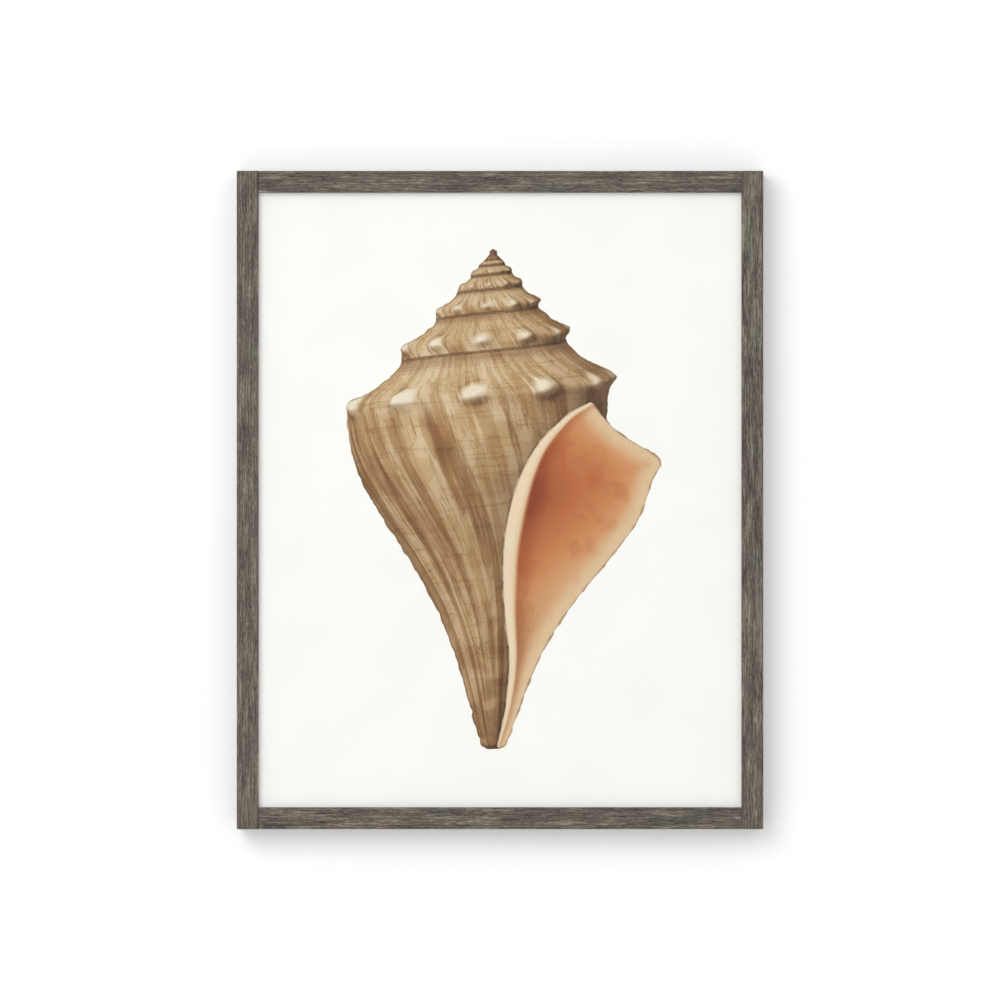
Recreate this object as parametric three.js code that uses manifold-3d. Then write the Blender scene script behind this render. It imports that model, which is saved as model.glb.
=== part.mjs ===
// A framed print: four butt-jointed wooden members, acrylic glazing, a sheet of paper, a hardboard
// back held by framer's points, and a toothed hanger riveted to the back.
// Millimetres. +X is to the viewer's right, +Y goes back into the wall and +Z is up.
// The origin is the middle notch of the hanger, where the nail bears.

import * as THREE from "three";
import { mergeVertices } from "three/addons/utils/BufferGeometryUtils.js";
import Module from "manifold-3d";

const wasm = await Module();
wasm.setup();

// The paper that shows: 11 x 14 inches.
const SIGHT_WIDTH = 279.4;
const SIGHT_HEIGHT = 355.6;

// The moulding's section, the same on all four sides.
const FACE_WIDTH = 12.6;
const FRAME_DEPTH = 19;
const LIP_OVERLAP = 4.5;
const LIP_THICKNESS = 2.5;
const FACE_EDGE_RADIUS = 0.8;
const BACK_EDGE_RADIUS = 0.5;
const JOINT_GAP = 0.1; // the glue line between a rail's end and its stile

// What lies in the rabbet, from the front.
const GLAZING_THICKNESS = 1.2; // clear acrylic
const PAPER_THICKNESS = 0.3;
const BOARD_THICKNESS = 3;
const SHEET_CLEARANCE = 1; // all round, between the sheets and the rabbet's walls
const AIR_GAP = 0.05; // between one sheet and the next

// Framer's points: flexible metal tabs driven into the rabbet's walls over the board.
const POINT_LENGTH = 15;
const POINT_WIDTH = 6.4;
const POINT_THICKNESS = 0.6;
const POINT_DRIVEN = 4.5;
const POINT_TIP_WIDTH = 3.6;
const STILE_POINT_SPACING = 130;
const RAIL_POINT_SPACING = 160;

// Brads: two through each stile into each rail's end.
const BRAD_LENGTH = 25;
const BRAD_RADIUS = 0.7;
const BRAD_HEAD_RADIUS = 1.2;
const BRAD_HEAD_THICKNESS = 1;
const BRAD_SET = 0.4; // how far the head lies below the wood
const BRAD_DEPTHS = [7.5, 15]; // back from the frame's face
const BRAD_FROM_END = 4.2;
const BORE_CLEARANCE = 0.15;

// The hanger: a strip whose middle is raised off the board, with teeth along its lower edge.
const HANGER_LENGTH = 50;
const HANGER_HEIGHT = 10;
const HANGER_THICKNESS = 0.8;
const HANGER_RAISE = 1.5;
const HANGER_RAISED_LENGTH = 28;
const HANGER_RAMP = 2.5;
const TOOTH_PITCH = 3;
const TOOTH_DEPTH = 1.8;
const TOOTH_COUNT = 9;
const MIDDLE_NOTCH_DEPTH = 2.4;
const NOTCH_BELOW_TOP = 36; // from the frame's top edge down to where the nail bears

// Rivets: one at each end of the hanger, clinched in a counterbore in the board's front.
const RIVET_FROM_MIDDLE = 20.8;
const RIVET_RADIUS = 1.2;
const RIVET_HEAD_RADIUS = 2.6;
const RIVET_HEAD_HEIGHT = 1.1;
const RIVET_CLINCH_RADIUS = 2.2;
const RIVET_CLINCH_THICKNESS = 0.4;
const RIVET_COUNTERBORE = 0.7;

// Felt bumpers at the two lower back corners.
const BUMPER_RADIUS = 3.6;
const BUMPER_THICKNESS = 2;
const BUMPER_FROM_BOTTOM = 16;

const ROUND_SIDES = 24;
const WALL_THICKNESS = FACE_WIDTH - LIP_OVERLAP;
const FRAME_WIDTH = SIGHT_WIDTH + 2 * FACE_WIDTH;
const FRAME_HEIGHT = SIGHT_HEIGHT + 2 * FACE_WIDTH;
const SHEET_WIDTH = SIGHT_WIDTH + 2 * (LIP_OVERLAP - SHEET_CLEARANCE);
const SHEET_HEIGHT = SIGHT_HEIGHT + 2 * (LIP_OVERLAP - SHEET_CLEARANCE);

// Depths, back from the frame's face.
const GLAZING_FRONT = LIP_THICKNESS + AIR_GAP;
const PAPER_FRONT = GLAZING_FRONT + GLAZING_THICKNESS + AIR_GAP;
const BOARD_FRONT = PAPER_FRONT + PAPER_THICKNESS + AIR_GAP;
const BOARD_BACK = BOARD_FRONT + BOARD_THICKNESS;
const ON_BOARD = BOARD_BACK + AIR_GAP;
const HANGER_RAISED_FRONT = ON_BOARD + HANGER_RAISE;

// The face, top and bottom of the frame as seen from the origin.
const FACE_Y = -(HANGER_RAISED_FRONT + HANGER_THICKNESS / 2);
const TOP_Z = NOTCH_BELOW_TOP;
const BOTTOM_Z = TOP_Z - FRAME_HEIGHT;
const MIDDLE_Z = (TOP_Z + BOTTOM_Z) / 2;

const wood = new THREE.MeshStandardMaterial({ color: 0x6b645a, roughness: 0.85 });
const acrylic = new THREE.MeshStandardMaterial({
  color: 0xf2f7f5,
  roughness: 0.05,
  transparent: true,
  opacity: 0.15,
});
const paper = new THREE.MeshStandardMaterial({ color: 0xfafaf5, roughness: 0.95 });
const hardboard = new THREE.MeshStandardMaterial({ color: 0x7a5738, roughness: 0.8 });
const zincPlate = new THREE.MeshStandardMaterial({
  color: 0xb9bcbe,
  roughness: 0.35,
  metalness: 1,
});
const blackSteel = new THREE.MeshStandardMaterial({
  color: 0x4a4846,
  roughness: 0.5,
  metalness: 1,
});
const brass = new THREE.MeshStandardMaterial({
  color: 0xb89a5a,
  roughness: 0.35,
  metalness: 1,
});
const felt = new THREE.MeshStandardMaterial({ color: 0x2c2b2a, roughness: 1 });

function piece(name, geometry, material) {
  const mesh = new THREE.Mesh(geometry, material);
  mesh.name = name;
  return mesh;
}

function toSolid(geometry) {
  const bare = geometry.clone();
  bare.deleteAttribute("normal");
  bare.deleteAttribute("uv");
  const merged = mergeVertices(bare, 1e-4);
  return new wasm.Manifold(
    new wasm.Mesh({
      numProp: 3,
      vertProperties: merged.attributes.position.array,
      triVerts: new Uint32Array(merged.index.array),
    }),
  );
}

function toGeometry(solid) {
  const mesh = solid.getMesh();
  const geometry = new THREE.BufferGeometry();
  geometry.setAttribute("position", new THREE.BufferAttribute(mesh.vertProperties, 3));
  geometry.setIndex(new THREE.BufferAttribute(mesh.triVerts, 1));
  geometry.computeVertexNormals();
  return geometry;
}

function cut(geometry, cutters) {
  let solid = toSolid(geometry);
  for (const cutter of cutters) solid = solid.subtract(toSolid(cutter));
  return toGeometry(solid);
}

function boxBetween(low, high) {
  const size = high.map((value, i) => value - low[i]);
  const middle = high.map((value, i) => (value + low[i]) / 2);
  return new THREE.BoxGeometry(...size).translate(...middle);
}

// A turned form: its profile is a list of [radius, height], and it stands along +Y.
function turned(profile) {
  const points = profile.map(([radius, height]) => new THREE.Vector2(radius, height));
  return new THREE.LatheGeometry(points, ROUND_SIDES);
}

// The moulding's L section: x runs inwards from the outer edge, y back from the face.
function mouldingSection() {
  const r = FACE_EDGE_RADIUS;
  const b = BACK_EDGE_RADIUS;
  const shape = new THREE.Shape();
  shape.moveTo(r, 0);
  shape.lineTo(FACE_WIDTH - r, 0);
  shape.quadraticCurveTo(FACE_WIDTH, 0, FACE_WIDTH, r);
  shape.lineTo(FACE_WIDTH, LIP_THICKNESS);
  shape.lineTo(WALL_THICKNESS, LIP_THICKNESS);
  shape.lineTo(WALL_THICKNESS, FRAME_DEPTH);
  shape.lineTo(b, FRAME_DEPTH);
  shape.quadraticCurveTo(0, FRAME_DEPTH, 0, FRAME_DEPTH - b);
  shape.lineTo(0, r);
  shape.quadraticCurveTo(0, 0, r, 0);
  return shape;
}

// A length of moulding along z, centred on it.
function moulding(length) {
  return new THREE.ExtrudeGeometry(mouldingSection(), {
    depth: length,
    bevelEnabled: false,
    curveSegments: 4,
  }).translate(0, 0, -length / 2);
}

// The slots that the framer's points are driven into, at these places along the member.
function pointSlots(places) {
  const slack = BORE_CLEARANCE;
  return places.map((z) =>
    boxBetween(
      [
        WALL_THICKNESS - POINT_DRIVEN - slack,
        ON_BOARD - slack / 2,
        z - POINT_WIDTH / 2 - slack,
      ],
      [
        WALL_THICKNESS + 1,
        ON_BOARD + POINT_THICKNESS + slack,
        z + POINT_WIDTH / 2 + slack,
      ],
    ),
  );
}

// A brad lies along +x from the stile's outer edge. The bore is the same form with slack.
function bradForm(slack) {
  const shank = BRAD_RADIUS + slack;
  const head = BRAD_HEAD_RADIUS + slack;
  const seat = BRAD_SET + BRAD_HEAD_THICKNESS + slack;
  const start = slack ? -1 : BRAD_SET;
  const tip = BRAD_SET + BRAD_LENGTH + slack;
  return turned([
    [0, start],
    [head, start],
    [head, seat],
    [shank, seat],
    [shank, tip - 2],
    [0, tip],
  ]).rotateZ(-Math.PI / 2);
}

// Both brads at one end of a stile, as [y, z] places on its outer edge.
function bradPlaces() {
  const z = FRAME_HEIGHT / 2 - BRAD_FROM_END;
  return [-z, z].flatMap((end) => BRAD_DEPTHS.map((depth) => [depth, end]));
}

function stile(pointPlaces) {
  const bores = bradPlaces().map(([y, z]) => bradForm(BORE_CLEARANCE).translate(0, y, z));
  return cut(moulding(FRAME_HEIGHT), [...bores, ...pointSlots(pointPlaces)]);
}

// A rail is coped at each end: its wall runs on into the stiles' rabbets, behind their lips.
function rail(pointPlaces) {
  const faceEnd = SIGHT_WIDTH / 2 - JOINT_GAP;
  const wallEnd = faceEnd + LIP_OVERLAP;
  const cutters = pointSlots(pointPlaces);
  for (const side of [-1, 1]) {
    const ends = [side * faceEnd, side * (wallEnd + 1)].sort((a, b) => a - b);
    cutters.push(
      boxBetween(
        [-1, -1, ends[0]],
        [FACE_WIDTH + 1, LIP_THICKNESS + JOINT_GAP, ends[1]],
      ),
    );
    for (const depth of BRAD_DEPTHS) {
      const bore = bradForm(BORE_CLEARANCE).rotateY((side * Math.PI) / 2);
      cutters.push(bore.translate(BRAD_FROM_END, depth, (side * FRAME_WIDTH) / 2));
    }
  }
  return cut(moulding(2 * wallEnd), cutters);
}

// A framer's point: a tab with a tapered end, which is the end that is driven in.
function framersPoint() {
  const half = POINT_WIDTH / 2;
  const shape = new THREE.Shape();
  shape.moveTo(0, -POINT_TIP_WIDTH / 2);
  shape.lineTo(POINT_DRIVEN, -half);
  shape.lineTo(POINT_LENGTH - half, -half);
  shape.absarc(POINT_LENGTH - half, 0, half, -Math.PI / 2, Math.PI / 2, false);
  shape.lineTo(POINT_DRIVEN, half);
  shape.lineTo(0, POINT_TIP_WIDTH / 2);
  shape.closePath();
  return new THREE.ExtrudeGeometry(shape, {
    depth: POINT_THICKNESS,
    bevelEnabled: false,
    curveSegments: 8,
  })
    .rotateX(Math.PI / 2)
    .translate(0, POINT_THICKNESS, 0);
}

// The hanger stands on the board: y = 0 is its flat ends' front, z = 0 its lower edge.
function hangerStrip() {
  const end = HANGER_LENGTH / 2;
  const top = HANGER_RAISED_LENGTH / 2;
  const foot = top + HANGER_RAMP;
  const front = [
    [-end, 0],
    [-foot, 0],
    [-top, HANGER_RAISE],
    [top, HANGER_RAISE],
    [foot, 0],
    [end, 0],
  ];
  const back = front.map(([x, y]) => [x, y + HANGER_THICKNESS]).reverse();
  const outline = [...front, ...back].map(([x, y]) => new THREE.Vector2(x, y));
  return new THREE.ExtrudeGeometry(new THREE.Shape(outline), {
    depth: HANGER_HEIGHT,
    bevelEnabled: false,
  });
}

// A V notch that opens downwards through the hanger's lower edge.
function notch(x, depth) {
  const half = (TOOTH_PITCH / 2) * (1 + 1 / depth);
  const outline = [
    [x - half, -1],
    [x + half, -1],
    [x, depth],
  ].map(([u, v]) => new THREE.Vector2(u, v));
  return new THREE.ExtrudeGeometry(new THREE.Shape(outline), {
    depth: 10,
    bevelEnabled: false,
  })
    .rotateX(Math.PI / 2)
    .translate(0, 5, 0);
}

function hanger() {
  const cutters = [];
  const middle = (TOOTH_COUNT - 1) / 2;
  for (let i = 0; i < TOOTH_COUNT; i++) {
    const depth = i === middle ? MIDDLE_NOTCH_DEPTH : TOOTH_DEPTH;
    cutters.push(notch((i - middle) * TOOTH_PITCH, depth));
  }
  for (const side of [-1, 1]) {
    const r = RIVET_RADIUS + BORE_CLEARANCE;
    const hole = new THREE.CylinderGeometry(r, r, 4, ROUND_SIDES);
    cutters.push(hole.translate(side * RIVET_FROM_MIDDLE, 0, HANGER_HEIGHT / 2));
  }
  return cut(hangerStrip(), cutters);
}

// A rivet, from its clinched end in the board's counterbore to its domed head on the hanger.
function rivet() {
  const grip = ON_BOARD + HANGER_THICKNESS + AIR_GAP;
  const clinch = BOARD_FRONT + RIVET_COUNTERBORE - RIVET_CLINCH_THICKNESS - AIR_GAP;
  return turned([
    [0, clinch],
    [RIVET_CLINCH_RADIUS, clinch],
    [RIVET_CLINCH_RADIUS, clinch + RIVET_CLINCH_THICKNESS],
    [RIVET_RADIUS, clinch + RIVET_CLINCH_THICKNESS],
    [RIVET_RADIUS, grip],
    [RIVET_HEAD_RADIUS, grip],
    [RIVET_HEAD_RADIUS * 0.8, grip + RIVET_HEAD_HEIGHT * 0.65],
    [RIVET_HEAD_RADIUS * 0.45, grip + RIVET_HEAD_HEIGHT * 0.93],
    [0, grip + RIVET_HEAD_HEIGHT],
  ]);
}

function bumper() {
  const edge = 0.4;
  return turned([
    [0, 0],
    [BUMPER_RADIUS, 0],
    [BUMPER_RADIUS, BUMPER_THICKNESS - edge],
    [BUMPER_RADIUS - edge, BUMPER_THICKNESS],
    [0, BUMPER_THICKNESS],
  ]);
}

// A sheet that fills the rabbet, its front face at this depth.
function sheet(front, thickness) {
  return boxBetween(
    [-SHEET_WIDTH / 2, front, -SHEET_HEIGHT / 2],
    [SHEET_WIDTH / 2, front + thickness, SHEET_HEIGHT / 2],
  );
}

function backingBoard() {
  const cutters = [];
  const z = HANGER_HEIGHT / 2 - MIDDLE_NOTCH_DEPTH - MIDDLE_Z;
  for (const side of [-1, 1]) {
    const x = side * RIVET_FROM_MIDDLE;
    const bore = RIVET_RADIUS + BORE_CLEARANCE;
    const wide = RIVET_CLINCH_RADIUS + BORE_CLEARANCE;
    const hole = new THREE.CylinderGeometry(bore, bore, 20, ROUND_SIDES);
    const recess = new THREE.CylinderGeometry(wide, wide, 2, ROUND_SIDES);
    cutters.push(hole.translate(x, BOARD_FRONT, z));
    cutters.push(recess.translate(x, BOARD_FRONT + RIVET_COUNTERBORE - 1, z));
  }
  return cut(sheet(BOARD_FRONT, BOARD_THICKNESS), cutters);
}

const framedPrint = new THREE.Group();

// The frame's own group stands with its face at y = 0 and its middle at the origin.
const body = new THREE.Group();
body.position.set(0, FACE_Y, MIDDLE_Z);
framedPrint.add(body);

// Each side is one length of moulding with its points, turned about Y to its place.
const stilePlaces = [-STILE_POINT_SPACING, 0, STILE_POINT_SPACING];
const railPlaces = [-RAIL_POINT_SPACING / 2, RAIL_POINT_SPACING / 2];
const sides = [
  { name: "left_stile", make: stile, places: stilePlaces, turn: 0 },
  { name: "top_rail", make: rail, places: railPlaces, turn: 1 },
  { name: "right_stile", make: stile, places: stilePlaces, turn: 2 },
  { name: "bottom_rail", make: rail, places: railPlaces, turn: 3 },
];
let pointNumber = 0;
let bradNumber = 0;
for (const { name, make, places, turn } of sides) {
  const side = new THREE.Group();
  const angle = (turn * Math.PI) / 2;
  const halfSpan = turn % 2 ? FRAME_HEIGHT / 2 : FRAME_WIDTH / 2;
  side.rotation.y = angle;
  side.position.set(-Math.cos(angle) * halfSpan, 0, Math.sin(angle) * halfSpan);
  side.add(piece(name, make(places), wood));
  for (const place of places) {
    pointNumber += 1;
    const tab = piece("framers_point_" + pointNumber, framersPoint(), zincPlate);
    tab.position.set(WALL_THICKNESS - POINT_DRIVEN, ON_BOARD, place);
    side.add(tab);
  }
  if (make === stile) {
    for (const [y, z] of bradPlaces()) {
      bradNumber += 1;
      const brad = piece("brad_" + bradNumber, bradForm(0), blackSteel);
      brad.position.set(0, y, z);
      side.add(brad);
    }
  }
  body.add(side);
}

body.add(piece("glazing", sheet(GLAZING_FRONT, GLAZING_THICKNESS), acrylic));
body.add(piece("print_sheet", sheet(PAPER_FRONT, PAPER_THICKNESS), paper));
body.add(piece("backing_board", backingBoard(), hardboard));

// The hanger's group has the board's back as y = 0 and the nail's height as z = 0.
const hanging = new THREE.Group();
hanging.position.set(0, FACE_Y, -MIDDLE_NOTCH_DEPTH);
const strip = piece("sawtooth_hanger", hanger(), zincPlate);
strip.position.y = ON_BOARD;
hanging.add(strip);
for (const [word, side] of [["left", -1], ["right", 1]]) {
  const pin = piece("hanger_rivet_" + word, rivet(), brass);
  pin.position.set(side * RIVET_FROM_MIDDLE, 0, HANGER_HEIGHT / 2);
  hanging.add(pin);
}
framedPrint.add(hanging);

for (const [word, side] of [["left", -1], ["right", 1]]) {
  const pad = piece("bumper_" + word, bumper(), felt);
  pad.position.set(
    side * (FRAME_WIDTH - WALL_THICKNESS) / 2,
    FRAME_DEPTH + AIR_GAP,
    BUMPER_FROM_BOTTOM - FRAME_HEIGHT / 2,
  );
  body.add(pad);
}

export default framedPrint;
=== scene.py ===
# A framed print of a whelk shell, hung flat on a wall. Metres, +Z up, the wall at the back in +Y.
# The frame is butt-jointed wood; clear acrylic, paper and a hardboard back lie in its rabbet.
import math
import bmesh
import bpy
import numpy as np
from mathutils import Matrix, Vector


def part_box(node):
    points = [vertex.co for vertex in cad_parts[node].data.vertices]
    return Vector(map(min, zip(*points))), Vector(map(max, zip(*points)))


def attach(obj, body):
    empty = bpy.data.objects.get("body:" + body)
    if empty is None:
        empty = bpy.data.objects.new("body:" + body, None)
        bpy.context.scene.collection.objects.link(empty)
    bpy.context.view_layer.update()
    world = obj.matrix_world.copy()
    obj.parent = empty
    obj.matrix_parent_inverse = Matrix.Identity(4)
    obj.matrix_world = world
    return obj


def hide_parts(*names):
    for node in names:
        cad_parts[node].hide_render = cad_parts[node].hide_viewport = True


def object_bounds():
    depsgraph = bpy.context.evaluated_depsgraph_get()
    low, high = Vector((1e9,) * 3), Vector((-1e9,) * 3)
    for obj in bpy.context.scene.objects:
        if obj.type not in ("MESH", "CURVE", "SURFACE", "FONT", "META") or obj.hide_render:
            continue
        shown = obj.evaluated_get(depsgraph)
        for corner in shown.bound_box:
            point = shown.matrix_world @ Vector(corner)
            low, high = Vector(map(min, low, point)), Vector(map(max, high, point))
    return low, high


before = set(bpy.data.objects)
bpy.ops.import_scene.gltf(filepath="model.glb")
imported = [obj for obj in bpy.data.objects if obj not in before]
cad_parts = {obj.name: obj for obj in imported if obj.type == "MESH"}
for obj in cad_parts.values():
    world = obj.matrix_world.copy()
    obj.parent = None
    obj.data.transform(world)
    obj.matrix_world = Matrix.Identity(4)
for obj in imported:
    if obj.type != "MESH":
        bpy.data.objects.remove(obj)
cad_low, cad_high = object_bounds()
MM = 0.001


# ---- The camera
# It stands square to the face of the frame and level with its middle, a good way off, so that
# the sides of the frame don't show.
LENS = 200 * MM
SENSOR = 36 * MM
FIELD = 578.4 * MM  # how much of the wall it takes in, top to bottom
QUARTER_TURN = math.radians(90)

frame_middle = (cad_low + cad_high) / 2
camera_data = bpy.data.cameras.new("camera")
camera_data.lens = LENS / MM
camera_data.sensor_width = SENSOR / MM
camera = bpy.data.objects.new("camera", camera_data)
camera.location = (frame_middle.x, cad_low.y - FIELD * LENS / SENSOR, frame_middle.z)
camera.rotation_euler = (QUARTER_TURN, 0, 0)
bpy.context.scene.collection.objects.link(camera)
bpy.context.scene.camera = camera
bpy.context.scene.view_settings.view_transform = "Standard"


# ---- The moulding: two stiles and two rails
# Square-edged pine, rabbeted behind, planed and then stained and dry-brushed as old barn board.
# The stiles run full height. The rails are coped over the stiles' lips, glued and nailed.
LIP_OVERLAP = 4.5
LIP_THICKNESS = 2.5
FACE_WIDTH = (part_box("left_stile")[1].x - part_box("left_stile")[0].x) / MM
FRAME_DEPTH = (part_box("left_stile")[1].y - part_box("left_stile")[0].y) / MM
WALL_THICKNESS = FACE_WIDTH - LIP_OVERLAP
OUTER_EDGE = 0.5  # how round each edge is worn
SIGHT_EDGE = 0.35
LIP_BACK_EDGE = 0.25
WALL_BACK_EDGE = 0.4
GLUE_LINE = 0.1
GRAIN_STEP = 1.3  # between one ring of points and the next, along the grain
SECTION_STEP = 0.6  # between one point and the next, round the moulding
GRAIN_DEPTH = 0.07
WORN_DEPTH = 0.12
SMOOTH_BELOW = 35  # degrees between faces that are shaded as one
SLOT_SLACK = np.array((0.15, 0.1, 0.15))  # round a point, where it is driven into the wall
CUT_PAST = 1.0  # how far a cutting form runs on past what it cuts
HOLE_SIDES = 20
BRAD_LENGTH = 25.4
BRAD_SHANK = 0.85
BRAD_HEAD = 1.3
BRAD_SET = 1.5  # how far its head lies below the wood


def linear(hex_colour):
    """An sRGB hex colour as linear red, green, blue and alpha."""
    parts = [int(hex_colour[i : i + 2], 16) / 255 for i in (1, 3, 5)]
    return [p / 12.92 if p <= 0.04045 else ((p + 0.055) / 1.055) ** 2.4 for p in parts] + [1.0]


def node(material, kind, inputs=(), stops=(), **settings):
    """Adds a node. inputs pairs a socket's name or number with a value, a node or a node's output,
    and stops, on a colour ramp, pairs places with hex colours."""
    made = material.node_tree.nodes.new(kind)
    for name, value in settings.items():
        setattr(made, name, value)
    for number, (place, colour) in enumerate(stops):
        elements = made.color_ramp.elements
        element = elements[number] if number < len(elements) else elements.new(place)
        element.position = place
        element.color = linear(colour)
    for socket, value in dict(inputs).items():
        if isinstance(value, bpy.types.Node):
            value = next(output for output in value.outputs if output.enabled)
        if isinstance(value, bpy.types.NodeSocket):
            material.node_tree.links.new(value, made.inputs[socket])
        else:
            made.inputs[socket].default_value = value
    return made


def new_material(name, **surface):
    """A material with one Principled shader, whose sockets are given by name with _ for a space."""
    material = bpy.data.materials.new(name)
    material.use_nodes = True
    shader = material.node_tree.nodes["Principled BSDF"]
    for socket, value in surface.items():
        shader.inputs[socket.replace("_", " ")].default_value = value
    return material, shader


def drive(material, shader, **sources):
    """Links nodes to the shader's sockets, named with _ for a space."""
    for socket, source in sources.items():
        output = next(output for output in source.outputs if output.enabled)
        material.node_tree.links.new(output, shader.inputs[socket.replace("_", " ")])


def millimetres(material, stretch=(1, 1, 1), shift=(0, 0, 0)):
    """The piece's own coordinates in millimetres, each axis multiplied by stretch."""
    place = node(material, "ShaderNodeTexCoord").outputs["Object"]
    scale = [s / MM for s in stretch]
    return node(material, "ShaderNodeMapping", {"Vector": place, "Scale": scale, "Location": shift})


def weathered_wood(name, shift):
    """Pine under a grey stain: taupe and olive-grey patches, dark open pores, pale brushed ridges.
    The streaks are 1 to 3 mm apart, as in flat-sawn pine, and run eight times as far along it."""
    material, shader = new_material(name, Roughness=0.82, IOR=1.5)
    long_grain = millimetres(material, (1, 1, 0.12), shift)
    patches = millimetres(material, (0.1, 0.1, 0.03), shift)
    noise = "ShaderNodeTexNoise"
    fine = node(
        material,
        noise,
        {"Vector": long_grain, "Scale": 2.3, "Detail": 6, "Roughness": 0.85, "Distortion": 0.3},
    )
    broad = node(material, noise, {"Vector": long_grain, "Scale": 0.36, "Detail": 3, "Distortion": 0.4})
    pores = node(material, noise, {"Vector": long_grain, "Scale": 1.4, "Detail": 3, "Roughness": 0.6})
    patch = node(material, noise, {"Vector": patches, "Scale": 1.0, "Detail": 3})
    streaks = node(
        material,
        "ShaderNodeMix",
        {"Factor": 0.30, "A": fine.outputs["Fac"], "B": broad.outputs["Fac"]},
    )
    pitch = node(
        material,
        "ShaderNodeTexWave",
        {"Vector": long_grain, "Scale": 0.185, "Distortion": 9.0, "Detail": 3, "Detail Scale": 2.0},
    )
    streaks = node(
        material,
        "ShaderNodeMix",
        {"Factor": 0.06, "A": streaks, "B": pitch.outputs["Fac"]},
    )
    taupe_stops = [(0.38, "#2C251F"), (0.463, "#4D443C"), (0.537, "#635950"), (0.62, "#8B8175")]
    olive_stops = [(0.38, "#292721"), (0.463, "#49463C"), (0.537, "#5C594F"), (0.62, "#827E72")]
    taupe = node(material, "ShaderNodeValToRGB", {"Fac": streaks}, taupe_stops)
    olive = node(material, "ShaderNodeValToRGB", {"Fac": streaks}, olive_stops)
    where_olive = node(
        material,
        "ShaderNodeMapRange",
        {"Value": patch.outputs["Fac"], "From Min": 0.44, "From Max": 0.62, "To Max": 0.7},
    )
    stain = node(
        material,
        "ShaderNodeMix",
        {"Factor": where_olive, "A": taupe, "B": olive},
        data_type="RGBA",
    )
    where_open = node(
        material,
        "ShaderNodeMapRange",
        {"Value": pores.outputs["Fac"], "From Min": 0.40, "From Max": 0.33, "To Max": 0.75},
    )
    colour = node(
        material,
        "ShaderNodeMix",
        {"Factor": where_open, "A": stain, "B": linear("#211C18")},
        data_type="RGBA",
    )
    relief = node(
        material,
        "ShaderNodeBump",
        {"Height": streaks, "Strength": 0.5, "Distance": 0.25 * MM},
    )
    drive(material, shader, Base_Color=colour, Normal=relief)
    return material


def rounded_path(corners, spacing):
    """A closed path through corners of (x, y, radius), its runs cut up to about this spacing."""
    path = []
    for i, (x, y, radius) in enumerate(corners):
        here = np.array((x, y))
        before = np.array(corners[i - 1][:2]) - here
        after = np.array(corners[(i + 1) % len(corners)][:2]) - here
        start = here + before / np.linalg.norm(before) * radius
        end = here + after / np.linalg.norm(after) * radius
        arc = [(1 - t) ** 2 * start + 2 * t * (1 - t) * here + t**2 * end for t in np.linspace(0, 1, 5)]
        path += arc if radius else [here]
    points = []
    for i, point in enumerate(path):
        ahead = path[(i + 1) % len(path)]
        pieces = max(1, round(float(np.linalg.norm(ahead - point)) / spacing))
        points += [point + (ahead - point) * k / pieces for k in range(pieces)]
    return np.array(points)


def grown(random, rows, columns, row_step, column_step):
    """Random heights from 0 to 1, smooth over row_step rows and column_step columns."""
    coarse = random.random((int(rows / row_step) + 2, int(columns / column_step) + 2))
    at_rows = np.arange(rows) / row_step
    at_columns = np.arange(columns) / column_step
    wide = np.array([np.interp(at_columns, np.arange(coarse.shape[1]), line) for line in coarse])
    return np.array([np.interp(at_rows, np.arange(coarse.shape[0]), line) for line in wide.T]).T


def add_piece(name, vertices, faces, material, matrix=None, smooth_below=SMOOTH_BELOW):
    """A mesh object, in millimetres, that rides on the frame."""
    mesh = bpy.data.meshes.new(name)
    mesh.from_pydata((np.asarray(vertices) * MM).tolist(), [], faces)
    mesh.materials.append(material)
    mesh.validate()
    mesh.shade_smooth()
    mesh.set_sharp_from_angle(angle=math.radians(smooth_below))
    piece = bpy.data.objects.new(name, mesh)
    bpy.context.scene.collection.objects.link(piece)
    if matrix is not None:
        piece.matrix_world = matrix
    return piece


def turned_form(profile, sides):
    """Points and faces of a form turned about the x axis, from a profile of (x, radius)."""
    angles = np.linspace(0, 2 * math.pi, sides, endpoint=False)
    points = [(x, r * math.cos(a), r * math.sin(a)) for x, r in profile for a in angles]
    faces = [list(range(sides))[::-1]]
    for ring in range(len(profile) - 1):
        for k in range(sides):
            a = ring * sides + k
            b = ring * sides + (k + 1) % sides
            faces.append([a, b, b + sides, a + sides])
    faces.append([(len(profile) - 1) * sides + k for k in range(sides)])
    return points, faces


def block(low, high):
    """Points and faces of a box."""
    points = [(x, y, z) for x in (low[0], high[0]) for y in (low[1], high[1]) for z in (low[2], high[2])]
    return points, [(0, 1, 3, 2), (4, 6, 7, 5), (0, 4, 5, 1), (2, 3, 7, 6), (0, 2, 6, 4), (1, 5, 7, 3)]


def moved(form, turn, by):
    """A form turned by a matrix, if there is one, and then moved."""
    points, faces = form
    points = np.array(points) @ (np.array(turn).T if turn is not None else np.eye(3)) + np.array(by)
    return points, faces


def carve(piece, form):
    """Cuts a form, in the piece's own millimetres, out of the piece."""
    tool = add_piece("tool", *form, piece.data.materials[0], piece.matrix_world)
    cut = piece.modifiers.new("cut", "BOOLEAN")
    cut.operation = "DIFFERENCE"
    cut.solver = "EXACT"
    cut.object = tool
    bpy.context.view_layer.update()
    carved = bpy.data.meshes.new_from_object(piece.evaluated_get(bpy.context.evaluated_depsgraph_get()))
    piece.modifiers.clear()
    piece.data = carved
    bpy.data.objects.remove(tool)
    carved.set_sharp_from_angle(angle=math.radians(SMOOTH_BELOW))


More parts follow.
